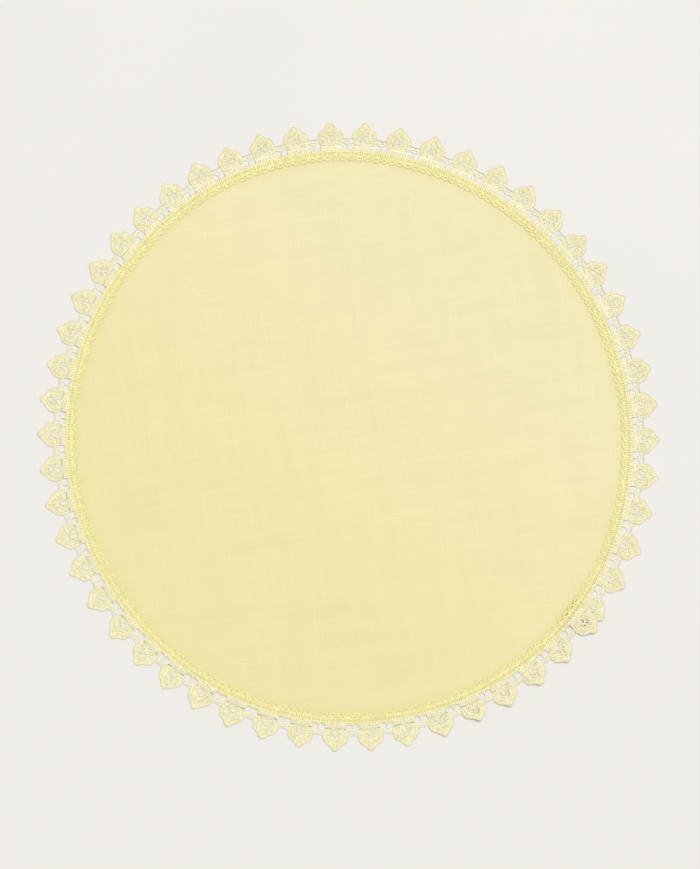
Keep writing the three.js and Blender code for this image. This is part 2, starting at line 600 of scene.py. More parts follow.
    @staticmethod
    def _lines(name: str, cords: list[Cord], strip: LaceStrip) -> Mesh:
        """Makes a mesh of bare lines that carry their half width and facing.

        Args:
            name: The piece's name.
            cords: The lines to draw.
            strip: How the flat lace is laid round the panel.

        Returns:
            The mesh.
        """
        edges = []
        first = 0
        for cord in cords:
            chain = list(range(first, first + len(cord.along)))
            edges += list(zip(chain, chain[1:]))
            if cord.closed:
                edges.append((chain[-1], first))
            first += len(chain)
        mesh = bpy.data.meshes.new(f"{name}_lines")
        points = [strip.place(cord.along, cord.out, cord.rise) for cord in cords]
        mesh.from_pydata(np.concatenate(points).tolist(), edges, [])
        widths = np.concatenate([cord.half_width for cord in cords])
        ups = np.concatenate([strip.upward(cord.along, cord.out) for cord in cords])
        mesh.attributes.new("half_width", "FLOAT", "POINT").data.foreach_set("value", widths)
        mesh.attributes.new("up", "FLOAT_VECTOR", "POINT").data.foreach_set("vector", ups.ravel())
        return mesh


class SatinTree(LineTree):
    """Geometry Nodes that cover lines with satin stitches over a flat core."""

    ARCH_STEPS = 3
    CORE_SIDES = 4
    CORE_WIDTH = 0.95

    def __init__(self) -> None:
        """Builds the tree."""
        super().__init__("satin_cord", [
            Port("Stitch Pitch", default=0.45 * MM),
            Port("Thread Radius", default=0.235 * MM),
            Port("Crown Share", default=0.65),
            Port("Highest Crown", default=0.4 * MM),
            Port("Bead Length", default=1.4 * MM),
            Port("Bead Depth", default=0.2),
            Port("Stray", default=0.1),
            Port("Core Step", default=1.2 * MM),
            Port("Core Flatness", default=0.3),
        ])
        line = self.smooth_line(self.given["Stitch Pitch"])
        self.finish(self._stitches(line), self._core(line))

    def _beaded_width(self) -> NodeSocket:
        """Draws the half width in a little between beads.

        Returns:
            The socket that gives it at each stitch.
        """
        wiring = self.wiring
        length = wiring.add("GeometryNodeSplineParameter").outputs["Length"]
        turns = wiring.math("DIVIDE", length, self.given["Bead Length"])
        wave = wiring.math("COSINE", wiring.math("MULTIPLY", turns, math.tau))
        dip = wiring.math("MULTIPLY_ADD", wave, -0.5, 0.5)
        share = wiring.math("SUBTRACT", 1.0, wiring.math("MULTIPLY", dip, self.given["Bead Depth"]))
        return wiring.math("MULTIPLY", self.read("half_width"), share)

    def _stitches(self, line: NodeSocket) -> NodeSocket:
        """Lays an arched thread across the line at each of its points.

        Args:
            line: The evenly spaced curves.

        Returns:
            The socket that gives the stitches' surfaces.
        """
        wiring = self.wiring
        arch = self.arch(self.ARCH_STEPS, (0.0, -1.0, 0.0), (0.0, 0.0, 2.0), (0.0, 1.0, 0.0))
        width = self._beaded_width()
        tall = wiring.math("MULTIPLY", width, self.given["Crown Share"])
        crown = wiring.math("MINIMUM", tall, self.given["Highest Crown"])
        least = wiring.math("SUBTRACT", 1.0, self.given["Stray"])
        most = wiring.math("ADD", 1.0, self.given["Stray"])
        wide = wiring.math("MULTIPLY", width, self.draw(least, most, Chance.WIDTH))
        high = wiring.math("MULTIPLY", crown, self.draw(least, most, Chance.CROWN))
        return self.lay_threads(line, arch, {0: 1.0, 1: wide, 2: high})

    def _core(self, line: NodeSocket) -> NodeSocket:
        """Sweeps a flat core under the stitches, so that nothing shows between them.

        Args:
            line: The evenly spaced curves.

        Returns:
            The socket that gives the core's surface.
        """
        sparse = self.space_out(line, self.given["Core Step"])
        level = self.wiring.get("GeometryNodeSetCurveNormal", {"Curve": sparse}, mode="Z_UP")
        section = {0: self.CORE_WIDTH, 1: self.given["Core Flatness"], 2: 1.0}
        flatness = self.wiring.get("ShaderNodeCombineXYZ", section)
        return self.sweep(level, self.CORE_SIDES, 1.0, self.read("half_width"), flatness)


class BarTree(LineTree):
    """Geometry Nodes that make thin wrapped bars along lines."""

    SIDES = 5

    def __init__(self) -> None:
        """Builds the tree."""
        super().__init__("wrapped_bar", [Port("Bar Step", default=0.7 * MM)])
        line = self.toned(self.smooth_line(self.given["Bar Step"]), "CURVE")
        self.finish(self.sweep(line, self.SIDES, 1.0, self.read("half_width")))


class SeamTree(LineTree):
    """Geometry Nodes that lay machine stitches end to end along a line."""

    ARCH_STEPS = 5
    STITCH_COVER = 0.94

    def __init__(self) -> None:
        """Builds the tree."""
        super().__init__("machine_seam", [
            Port("Stitch Length", default=2.5 * MM),
            Port("Thread Radius", default=0.17 * MM),
            Port("Stitch Arch", default=0.25 * MM),
            Port("Stray", default=0.05),
        ])
        line = self.smooth_line(self.given["Stitch Length"])
        arch = self.arch(self.ARCH_STEPS, (-0.5, 0.0, -1.0), (0.0, 0.0, 3.0), (0.5, 0.0, -1.0))
        long = self.wiring.math("MULTIPLY", self.given["Stitch Length"], self.STITCH_COVER)
        self.finish(self.lay_threads(line, arch, {0: long, 1: 1.0, 2: self.given["Stitch Arch"]}))


class FibreGrain(NodeGroup):
    """Shader nodes for the fine fibres of a yarn: a height and a tone."""

    COARSE_SCALE = 0.12
    FINE_WEIGHT = 0.4
    COARSE_WEIGHT = 0.6

    def __init__(self) -> None:
        """Builds the group."""
        super().__init__(
            "fibre_grain", "ShaderNodeTree",
            [Port("Place", "Vector"), Port("Fibre Size", default=0.15 * MM)],
            [Port("Height"), Port("Tone")])
        wiring = self.wiring
        scale = wiring.math("DIVIDE", 1.0, self.given["Fibre Size"])
        fine = wiring.noise(self.given["Place"], scale, 3.0)
        coarse = wiring.noise(self.given["Place"], wiring.math("MULTIPLY", scale, self.COARSE_SCALE), 2.0)
        wiring.feed(self.result["Height"], fine)
        tone = wiring.weigh((fine, self.FINE_WEIGHT), (coarse, self.COARSE_WEIGHT))
        wiring.feed(self.result["Tone"], tone)


class SoftMottle(NodeGroup):
    """Shader nodes for wide, soft differences of tone."""

    RANGE = (0.3, 0.7)

    def __init__(self) -> None:
        """Builds the group."""
        super().__init__(
            "soft_mottle", "ShaderNodeTree",
            [Port("Place", "Vector"), Port("Patch Size", default=60 * MM)], [Port("Tone")])
        scale = self.wiring.math("DIVIDE", 1.0, self.given["Patch Size"])
        spread = self.wiring.noise(self.given["Place"], scale, 3.0)
        self.wiring.feed(self.result["Tone"], self.wiring.remap(spread, self.RANGE))


@dataclass(frozen=True)
class YarnSet:
    """The sockets that describe the yarns of one direction.

    Attributes:
        height: How high they stand.
        tone: Their tone, yarn by yarn.
        slub: Where one is a little thicker.
        thick: The few long stretches where one is much thicker.
        cover: How far they cover the cloth.
        streak: The wide soft streaks along them.
    """

    height: NodeSocket
    tone: NodeSocket
    slub: NodeSocket
    thick: NodeSocket
    cover: NodeSocket
    streak: NodeSocket


class PlainWeave(NodeGroup):
    """Shader nodes for a plain weave of uneven yarns, with slubs and streaks."""

    WANDER = (2 * MM, 2 * MM, 0.0)
    WANDER_SCALE = 35.0
    WARP_SHIFTS = (3.7, 7.9, 3.1)
    WEFT_SHIFTS = (41.3, 23.3, 57.0)
    YARN_SPREAD = 1.731
    THICK_SPREAD = 2.37
    THICK_LENGTH = 2.2
    STREAK_LENGTH = 9.0
    SLUB_RANGE = (0.6, 0.74)
    THICK_RANGE = (0.71, 0.81)
    STREAK_RANGE = (0.3, 0.7)
    THICK_EDGE = (0.45, 1.0)
    GAP_RANGE = (0.0, 0.35)
    YARN_BREADTH = (0.9, 0.5)
    OVER_UNDER = (0.8, 0.2)
    THIN_SLUB = 0.5

    def __init__(self) -> None:
        """Builds the group."""
        super().__init__(
            "slub_plain_weave", "ShaderNodeTree",
            [Port("Place", "Vector"), Port("Yarn Pitch", default=0.55 * MM),
             Port("Slub Length", default=22 * MM), Port("Thick Yarn", default=1.0 * MM),
             Port("Streak Width", default=9 * MM)],
            [Port("Height"), Port("Yarn Tone"), Port("Slub"), Port("Gap"), Port("Streak")])
        wiring, calc, result = self.wiring, self.wiring.math, self.result
        x, y = self._wander()
        warp = self._yarns(x, y, 0.5, self.WARP_SHIFTS)
        weft = self._yarns(y, x, -0.5, self.WEFT_SHIFTS)
        wiring.feed(result["Height"], calc("MAXIMUM", warp.height, weft.height))
        shows = {0: calc("GREATER_THAN", warp.height, weft.height), 2: weft.tone, 3: warp.tone}
        wiring.feed(result["Yarn Tone"], wiring.get("ShaderNodeMix", shows, data_type="FLOAT"))
        thin = calc("MULTIPLY", calc("MAXIMUM", warp.slub, weft.slub), self.THIN_SLUB)
        thick = calc("MAXIMUM", warp.thick, weft.thick)
        wiring.feed(result["Slub"], calc("MAXIMUM", thin, thick))
        cover = calc("MAXIMUM", warp.cover, weft.cover)
        wiring.feed(result["Gap"], wiring.remap(cover, self.GAP_RANGE, (1.0, 0.0)))
        wiring.feed(result["Streak"], calc("MULTIPLY", calc("ADD", warp.streak, weft.streak), 0.5))

    def _wander(self) -> tuple[NodeSocket, NodeSocket]:
        """Lets the yarns wander a little.

        Returns:
            The sockets of the place across the warp and across the weft.
        """
        wiring, place = self.wiring, self.given["Place"]
        inputs = {"Vector": place, "Scale": self.WANDER_SCALE, "Detail": 1.0}
        drift = wiring.add("ShaderNodeTexNoise", inputs).outputs[1]
        shift = wiring.get("ShaderNodeVectorMath", {0: drift, 1: (0.5, 0.5, 0.5)}, operation="SUBTRACT")
        inputs = {0: shift, 1: self.WANDER, 2: place}
        bent = wiring.get("ShaderNodeVectorMath", inputs, operation="MULTIPLY_ADD")
        x, y, _ = wiring.add("ShaderNodeSeparateXYZ", {0: bent}).outputs
        return x, y

    def _rows(self, across: NodeSocket, width: NodeSocket, spread: float, shift: float) -> tuple:
        """Divides the cloth into rows of yarn.

        Args:
            across: The place across the yarns.
            width: How wide a row is.
            spread: How far apart two rows are in the noise.
            shift: What keeps this direction apart from the other.

        Returns:
            The sockets of a row's number, of the place in it from -1 to 1, and of its place in the noise.
        """
        calc = self.wiring.math
        count = calc("DIVIDE", across, width)
        number = calc("FLOOR", count)
        middle = calc("MULTIPLY_ADD", calc("FRACT", count), 2.0, -1.0)
        return number, middle, calc("MULTIPLY_ADD", number, spread, shift)

    def _stretches(self, row: NodeSocket, ahead: NodeSocket, length: NodeSocket, shift: float,
                   detail: float) -> NodeSocket:
        """Gives noise in long patches that follow the yarns.

        Args:
            row: The row's place in the noise.
            ahead: The place along the yarns.
            length: How long a patch is.
            shift: What keeps this noise apart from the others.
            detail: How many finer layers it has.

        Returns:
            The socket that gives a value from 0 to 1.
        """
        run = self.wiring.math("DIVIDE", ahead, length)
        spot = self.wiring.get("ShaderNodeCombineXYZ", {0: row, 1: run, 2: shift})
        return self.wiring.noise(spot, 1.0, detail)

    def _yarns(self, across: NodeSocket, ahead: NodeSocket, over: float, shifts: tuple) -> YarnSet:
        """Lays the yarns of one direction.

        Args:
            across: The place across the yarns.
            ahead: The place along the yarns.
            over: Half of the swing over and under: its sign sets which yarns go over first.
            shifts: What keeps its yarns, thick yarns and streaks apart from the other direction's.

        Returns:
            The sockets that describe them.
        """
        wiring, calc, given = self.wiring, self.wiring.math, self.given
        shift, thick_shift, streak_shift = shifts
        number, middle, key = self._rows(across, given["Yarn Pitch"], self.YARN_SPREAD, shift)
        uneven = self._stretches(key, ahead, given["Slub Length"], shift, 2.0)
        edge = calc("DIVIDE", middle, calc("MULTIPLY_ADD", uneven, *self.YARN_BREADTH))
        cover = calc("MAXIMUM", calc("SUBTRACT", 1.0, calc("MULTIPLY", edge, edge)), 0.0)
        turns = calc("ADD", calc("DIVIDE", ahead, given["Yarn Pitch"]), number)
        lift = calc("MULTIPLY_ADD", calc("SINE", calc("MULTIPLY", turns, math.pi)), over, 0.5)
        height = calc("MULTIPLY", cover, calc("MULTIPLY_ADD", lift, *self.OVER_UNDER))
        each = wiring.get("ShaderNodeTexWhiteNoise", {"W": key}, noise_dimensions="1D")
        tone = wiring.weigh((uneven, 0.5), (each, 0.5))
        slub = wiring.remap(uneven, self.SLUB_RANGE)

        _, middle, key = self._rows(across, given["Thick Yarn"], self.THICK_SPREAD, thick_shift)
        length = calc("MULTIPLY", given["Slub Length"], self.THICK_LENGTH)
        stretch = wiring.remap(self._stretches(key, ahead, length, thick_shift, 1.0), self.THICK_RANGE)
        beside = wiring.remap(calc("ABSOLUTE", middle), self.THICK_EDGE, (1.0, 0.0))
        thick = calc("MULTIPLY", stretch, beside)

        width = given["Streak Width"]
        length = calc("MULTIPLY", width, self.STREAK_LENGTH)
        streak = self._stretches(calc("DIVIDE", across, width), ahead, length, streak_shift, 4.0)
        return YarnSet(height, tone, slub, thick, cover, wiring.remap(streak, self.STREAK_RANGE))


@dataclass(frozen=True)
class Groups:
    """The shader node groups that the finishes share.

    Attributes:
        fibre: Fine fibres.
        mottle: Wide soft patches.
        weave: The linen's weave.
    """

    fibre: FibreGrain
    mottle: SoftMottle
    weave: PlainWeave


@dataclass(frozen=True)
class Finish:
    """What every matt finish here has in common.

    Attributes:
        name: The material's name.
        colour: Its lighter colour, linear.
        shade: Its darker colour, linear.
        roughness: How rough it is.
        sheen: How strong the soft light at its edges is.
        sheen_roughness: How widely that light spreads.
        specular: How strongly it reflects.
        relief: How high its surface stands.
        bump: How strongly that shows.
        patch: How wide its soft patches are.
    """

    name: str
    colour: tuple
    shade: tuple
    roughness: float
    sheen: float
    sheen_roughness: float = 0.45
    specular: float = 0.3
    relief: float = 0.0
    bump: float = 0.0
    patch: float = 220 * MM

    def make(self, groups: Groups) -> Material:
        """Makes the material.

        Args:
            groups: The shader node groups that the finishes share.

        Returns:
            The material, with its plain values set and its colour and relief wired.
        """
        material = bpy.data.materials.new(self.name)
        material.use_nodes = True
        wiring = Wiring(material.node_tree)
        shader = material.node_tree.nodes["Principled BSDF"].inputs
        shader["Roughness"].default_value = self.roughness
        shader["Specular IOR Level"].default_value = self.specular
        shader["Sheen Weight"].default_value = self.sheen
        shader["Sheen Roughness"].default_value = self.sheen_roughness
        place = wiring.add("ShaderNodeTexCoord").outputs["Object"]
        mottle = groups.mottle.place_in(wiring, {"Place": place, "Patch Size": self.patch})["Tone"]
        colour, height = self.paint(wiring, groups, place, mottle)
        wiring.feed(shader["Base Color"], colour)
        if height is not None:
            inputs = {"Height": height, "Distance": self.relief, "Strength": self.bump}
            wiring.feed(shader["Normal"], wiring.get("ShaderNodeBump", inputs))
        return material

    def paint(self, wiring: Wiring, groups: Groups, place: NodeSocket,
              mottle: NodeSocket) -> tuple[NodeSocket, NodeSocket | None]:
        """Wires the finish's own colour and relief.

        Args:
            wiring: The material's wiring.
            groups: The shader node groups that the finishes share.
            place: The place on the object.
            mottle: The tone of its soft patches.

        Returns:
            The sockets that give the colour, and the height if it has any relief.
        """
        return self.between(wiring, mottle), None

    def between(self, wiring: Wiring, tone: NodeSocket) -> NodeSocket:
        """Goes from the darker to the lighter colour as a tone goes from 0 to 1."""
        return wiring.mix_colour(tone, (*self.shade, 1), (*self.colour, 1))


@dataclass(frozen=True)
class LinenFinish(Finish):
    """Pale yellow slub linen in a plain weave.

    Attributes:
        fibre: How large its fibres are.
        grain_turn: How far the yarns are turned from the frame's axes.
        tone_weights: What the patches, yarns, streaks, fibres and slubs add to its tone.
        height_weights: What the weave, fibres and slubs add to its height.
        gap_share: How strongly the gaps between yarns are darkened, as painted shade between the yarns.
        gap_shade: What the darker colour is multiplied by for that painted shade in the gaps.
        hem_tint: What the doubled cloth of the hem multiplies the colour by.
        shaded_side_tint: The same at the lower left, away from the light, where painted shade makes it a
            little deeper.
        lit_side_tint: The same at the upper right, towards the light, where painted light makes it a little
            paler.
        fade_heading: The heading from the one to the other.
        fade_reach: How far from the middle that painted fading goes.
    """

    relief: float = 0.14 * MM
    bump: float = 0.8
    patch: float = 45 * MM
    fibre: float = 0.2 * MM
    grain_turn: float = math.radians(9)
    tone_weights: tuple = (0.12, 0.5, 0.36, 0.12, 0.65)
    height_weights: tuple = (1.0, 0.2, 0.6)
    gap_share: float = 0.5
    gap_shade: float = 0.8
    hem_tint: tuple = (0.987, 0.981, 0.914)
    shaded_side_tint: tuple = (0.99, 0.98, 0.92)
    lit_side_tint: tuple = (1.007, 1.012, 1.075)
    fade_heading: float = math.radians(54)
    fade_reach: float = 170 * MM

    def paint(self, wiring: Wiring, groups: Groups, place: NodeSocket,
              mottle: NodeSocket) -> tuple[NodeSocket, NodeSocket | None]:
        """Wires the linen's colour and the relief of its weave.

        Args:
            wiring: The material's wiring.
            groups: The shader node groups that the finishes share.
            place: The place on the object.
            mottle: The tone of its soft patches.

        Returns:
            The sockets that give the colour and the height.
        """
        inputs = {"Vector": place, "Rotation": (0.0, 0.0, -self.grain_turn)}
        grain = wiring.get("ShaderNodeMapping", inputs)
        weave = groups.weave.place_in(wiring, {"Place": grain})
        fibre = groups.fibre.place_in(wiring, {"Place": grain, "Fibre Size": self.fibre})
        tones = (mottle, weave["Yarn Tone"], weave["Streak"], fibre["Tone"], weave["Slub"])
        cloth = self.between(wiring, wiring.weigh(*zip(tones, self.tone_weights)))
        # Painted light and shade: the cloth is made paler towards the upper right, where the light is, and
        # deeper towards the lower left.
        ahead = (math.cos(self.fade_heading), math.sin(self.fade_heading), 0.0)
        along = wiring.add("ShaderNodeVectorMath", {0: place, 1: ahead}, operation="DOT_PRODUCT").outputs[1]
        fade = wiring.remap(along, (-self.fade_reach, self.fade_reach))
        cloth = wiring.tint(fade, cloth, self.shaded_side_tint, self.lit_side_tint)
        hem = wiring.add("ShaderNodeAttribute", attribute_name="hem").outputs["Fac"]
        cloth = wiring.tint(hem, cloth, (1.0, 1.0, 1.0), self.hem_tint)
        # Painted shade between the yarns: the gaps darken towards the darker colour times gap_shade.
        deep = tuple(value * self.gap_shade for value in self.shade)
        gap = wiring.math("MULTIPLY", weave["Gap"], self.gap_share)
        heights = (weave["Height"], fibre["Height"], weave["Slub"])
        return wiring.mix_colour(gap, cloth, (*deep, 1)), wiring.weigh(*zip(heights, self.height_weights))


@dataclass(frozen=True)
class YarnFinish(Finish):
    """Embroidery yarn with a soft satin gleam.

    Attributes:
        fibre: How large its fibres are.
        tone_weights: What its patches, threads and fibres add to its tone.
    """

    relief: float = 0.04 * MM
    bump: float = 0.6
    patch: float = 2.4 * MM
    fibre: float = 0.12 * MM
    tone_weights: tuple = (0.4, 0.4, 0.2)

    def paint(self, wiring: Wiring, groups: Groups, place: NodeSocket,
              mottle: NodeSocket) -> tuple[NodeSocket, NodeSocket | None]:
        """Wires the yarn's colour, thread by thread, and the relief of its fibres.

        Args:
            wiring: The material's wiring.
            groups: The shader node groups that the finishes share.
            place: The place on the object.
            mottle: The tone of its soft patches.

        Returns:
            The sockets that give the colour and the height.
        """
        fibre = groups.fibre.place_in(wiring, {"Place": place, "Fibre Size": self.fibre})
        thread = wiring.add("ShaderNodeAttribute", attribute_name="tone").outputs["Fac"]
        tone = wiring.weigh(*zip((mottle, thread, fibre["Tone"]), self.tone_weights))
        return self.between(wiring, tone), fibre["Height"]


@dataclass
class LinenPanel:
    """The round linen sheet with its hem turned under.

    Attributes:
        outline: The panel's edge.
        finish: The linen's finish.
        thickness: The cloth's thickness.
        fold_gap: The space inside the folded hem.
        clearance: The least space under the cloth.
        hem_width: How far the hem reaches inward.
        hem_settle: How far further in the sheet comes down from the hem to the table.
        rim_width: The width of the band of rings at the edge.
        rim_rings: How far in from the edge those rings are.
        rim_turns: The degrees at which the folded edge has its rings.
        rim_sides: How many sides the edge has.
        edge_round: How much the cut edge in the hem is rounded, in shares of the thickness.
        grid: The spacing of the points inside.
        grid_margin: How near the band of rings they come, in spacings.
        ripple: How high the cloth's soft waves stand.
        ripple_count: How many waves add up.
        ripple_lengths: The shortest and the longest of them.
        ripple_spread: How strong a sum of waves reaches most of that height.
        ripple_seed: The seed of those waves.
    """

    outline: PanelOutline
    finish: LinenFinish = LinenFinish(
        "pale_linen", (0.8, 0.738, 0.413), (0.728, 0.669, 0.369), roughness=0.85, sheen=0.15)
    thickness: float = 0.35 * MM
    fold_gap: float = 0.05 * MM
    clearance: float = 0.02 * MM
    hem_width: float = 9.0 * MM
    hem_settle: float = 18.0 * MM
    rim_width: float = 10.5 * MM
    rim_rings: tuple = (8.0 * MM, 5.0 * MM, 2.5 * MM, 1.0 * MM)
    rim_turns: tuple = (75, 45, 15, -15, -45, -75)
    rim_sides: int = 400
    edge_round: float = 0.1
    grid: float = 2.8 * MM
    grid_margin: float = 0.6
    ripple: float = 0.35 * MM
    ripple_count: int = 14
    ripple_lengths: tuple = (35 * MM, 110 * MM)
    ripple_spread: float = 3.5
    ripple_seed: int = 3

    def under_height(self, x: np.ndarray, y: np.ndarray) -> np.ndarray:
        """Gives the height of the sheet's underside: on the hem at the edge, near the table inside.

        Args:
            x: Distance right of the frame's origin.
            y: Distance towards the far side.

        Returns:
            The height at each point.
        """
        pole = self.outline.pole()
        angle = np.arctan2(y - pole[1], x - pole[0])
        inset = self.outline.radius(angle) - np.hypot(x - pole[0], y - pole[1])
        share = ease(inset, self.hem_width, self.hem_width + self.hem_settle)
        wave = np.zeros_like(x)
        draw = np.random.default_rng(self.ripple_seed)
        for _ in range(self.ripple_count):
            heading, phase = draw.uniform(0, math.tau, 2)
            length = draw.uniform(*self.ripple_lengths)
            wave += np.sin(math.tau * (x * math.cos(heading) + y * math.sin(heading)) / length + phase)
        wave = 0.5 + 0.5 * np.tanh(wave / self.ripple_spread)
        hem = self.thickness + self.fold_gap
        return hem * (1 - share) + self.ripple * wave * share + self.clearance

    def build(self) -> Object:
        """Builds the sheet as one closed mesh.

        Returns:
            The sheet, not yet dressed.
        """
        angle = np.linspace(0, math.tau, self.rim_sides, endpoint=False)
        inner_points, inner_faces = self._inside(angle)
        count = self.rim_sides
        inside = len(inner_points)
        z = self.under_height(inner_points[:, 0], inner_points[:, 1])
        top = np.column_stack([inner_points, z + self.thickness])
        under = np.column_stack([inner_points, z])
        rings = [self._ring(angle, inset, height) for inset, height in self._rim_section()]
        points = np.concatenate([top, under, *rings])
        faces = [tuple(face) for face in inner_faces]
        faces += [tuple(inside + corner for corner in reversed(face)) for face in inner_faces]
        starts = [0, *(2 * inside + count * ring for ring in range(len(rings))), inside]
        for outer, inner in zip(starts[1:], starts):
            for side in range(count):
                after = (side + 1) % count
                faces.append((inner + side, outer + side, outer + after, inner + after))
        mesh = bpy.data.meshes.new("linen_round")
        mesh.from_pydata(points.tolist(), [], faces)
        mesh.polygons.foreach_set("use_smooth", [True] * len(mesh.polygons))
        doubled = np.zeros(len(points))
        doubled[2 * inside:] = 1.0
        mesh.attributes.new("hem", "FLOAT", "POINT").data.foreach_set("value", doubled)
        mesh.update()
        return link_piece("linen_round", mesh)

    def _rim_section(self) -> list[tuple[float, float]]:
        """Lists the rings from the top face round the folded edge to the underside.

        Returns:
            How far in from the edge each ring is, and how high above the hem's underside.
        """
        thick, gap = self.thickness, self.fold_gap
        full = 2 * thick + gap
        bend = full / 2
        inward = self.rim_rings[::-1]
        section = [(inset, full) for inset in self.rim_rings]
        for turn in map(math.radians, self.rim_turns):
            section.append((bend - bend * math.cos(turn), bend + bend * math.sin(turn)))
        section += [(inset, 0.0) for inset in inward]
        section += [(self.hem_width, share * thick) for share in (self.edge_round, 1 - self.edge_round)]
        section += [(inset, thick) for inset in self.rim_rings]
        section += [(bend + gap, thick), (bend, bend), (bend + gap, thick + gap)]
        return section + [(inset, thick + gap) for inset in inward]

    def _ring(self, angle: np.ndarray, inset: float, height: float) -> np.ndarray:
        """Places one ring of points.

        Args:
            angle: The angles of its points.
            inset: How far in from the edge it is.
            height: How high above the hem's underside it is.

        Returns:
            One row of x, y and z for each point.
        """
        pole = self.outline.pole()
        radius = self.outline.radius(angle) - inset
        x = pole[0] + radius * np.cos(angle)
        y = pole[1] + radius * np.sin(angle)
        return np.column_stack([x, y, np.full_like(x, height + self.clearance)])

    def _inside(self, angle: np.ndarray) -> tuple[np.ndarray, list]:
        """Fills the panel inside its rim with even triangles.

        Args:
            angle: The angles of the rim's corners.

        Returns:
            The points, which start with the rim's own, and the triangles.
        """
        pole = self.outline.pole()
        rim = self._ring(angle, self.rim_width, 0.0)[:, :2]
        reach = self.outline.mean_radius
        row = self.grid * math.sqrt(3) / 2
        rows = int(reach / row)
        points = [tuple(point) for point in rim]
        for line in range(-rows, rows + 1):
            shift = 0.5 * self.grid * (line % 2)
            for spot in range(-int(reach / self.grid) - 1, int(reach / self.grid) + 2):
                x, y = spot * self.grid + shift, line * row
                edge = self.outline.radius(math.atan2(y, x)) - self.rim_width - self.grid_margin * self.grid
                if math.hypot(x, y) < edge:
                    points.append((pole[0] + x, pole[1] + y))
        count = self.rim_sides
        edges = [(side, (side + 1) % count) for side in range(count)]
        only_inside, tolerance = 1, 1e-9
        flat, _, faces, *_ = delaunay_2d_cdt(
            [Vector(point) for point in points], edges, [], only_inside, tolerance)
        return np.array([tuple(point) for point in flat]), [list(face) for face in faces]

    def dress(self, piece: Object, groups: Groups) -> None:
        """Gives the sheet its linen."""
        piece.data.materials.append(self.finish.make(groups))


@dataclass
class HeadDesign:
    """The lines of one head of the lace, right half, in millimetres.

    Each row gives how far across the head a point is, how far out from the panel's edge, and half
    of the cord's width there.

    Attributes:
        rim: The cord round the whole head, from its tip to its base.
        outline: The thin darker cord along the rim, which paints the shadow beside the head: how far
            outside it, and its half width.
        outline_ends: How many points of the rim it leaves out at its start and its end.
        outline_taper: How far out it starts and stops widening, and the shares of its width there.
        fill: The broad satin between the rim and the opening, from its foot up to the tip.
        vein: The cord that runs up the middle, between the two halves of that satin.
        opening: The thin raised cord round the arched opening.
        opening_rise: How far that cord is raised.
        leaf: The small pointed loop that stands in the opening, from its point to its foot.
        spokes: The bars between that loop and the opening's cord: across and out, from and to.
        bride: The bar from the head to the small ring beside it, drawn the same way.
        bar_half_width: Half of a bar's width.
        bar_wobble: How far a bar's ends stray from the drawn ones.
        wobble: How far any other point strays from the drawn line.
    """

    rim: tuple = (
        (0.0, 15.75, 0.52), (0.8, 15.4, 0.5), (1.4, 14.7, 0.5), (2.1, 13.65, 0.5), (3.25, 12.65, 0.5),
        (4.65, 11.8, 0.5), (5.75, 10.85, 0.5), (6.4, 9.75, 0.5), (6.65, 8.35, 0.5), (6.7, 6.9, 0.5),
        (6.65, 5.5, 0.5), (6.35, 4.35, 0.55), (5.5, 3.6, 0.64), (4.1, 3.25, 0.64), (2.2, 3.1, 0.64),
        (0.0, 3.05, 0.64))
    outline: tuple = (0.74, 0.35)
    outline_ends: tuple = (6, 5)
    outline_taper: tuple = ((6.5, 9.5), (0.7, 1.0))
    fill: tuple = (
        (3.3, 3.6, 0.5), (4.5, 4.3, 1.15), (5.2, 5.45, 1.45), (5.45, 6.75, 1.65), (5.2, 8.45, 1.85),
        (4.45, 9.85, 1.95), (3.2, 10.9, 2.0), (2.0, 11.95, 1.7), (1.1, 13.2, 1.25), (0.65, 14.35, 0.9),
        (0.35, 15.3, 0.55))
    vein: tuple = (
        (0.0, 10.2, 1.65), (0.0, 11.3, 1.5), (0.0, 12.3, 0.85), (0.0, 13.5, 0.4), (0.0, 15.2, 0.3))
    opening: tuple = (
        (2.8, 4.3, 0.48), (3.25, 5.2, 0.5), (3.5, 6.3, 0.52), (3.3, 7.55, 0.52), (2.55, 8.65, 0.55),
        (1.4, 9.4, 0.58), (0.0, 9.75, 0.62))
    opening_rise: float = 0.08
    leaf: tuple = (
        (0.0, 7.4, 0.7), (1.0, 6.65, 0.76), (1.65, 5.6, 0.76), (1.7, 4.6, 0.72), (1.1, 3.8, 0.56),
        (0.0, 3.55, 0.4))
    spokes: tuple = (
        (0.4, 7.9, 0.7, 9.9), (1.3, 7.1, 2.3, 8.9), (2.1, 6.2, 3.5, 7.2), (2.2, 5.1, 3.5, 5.6),
        (1.8, 4.1, 3.1, 4.1))
    bride: tuple = (6.7, 4.8, 8.0, 4.8)
    bar_half_width: float = 0.28
    bar_wobble: float = 0.12
    wobble: float = 0.1


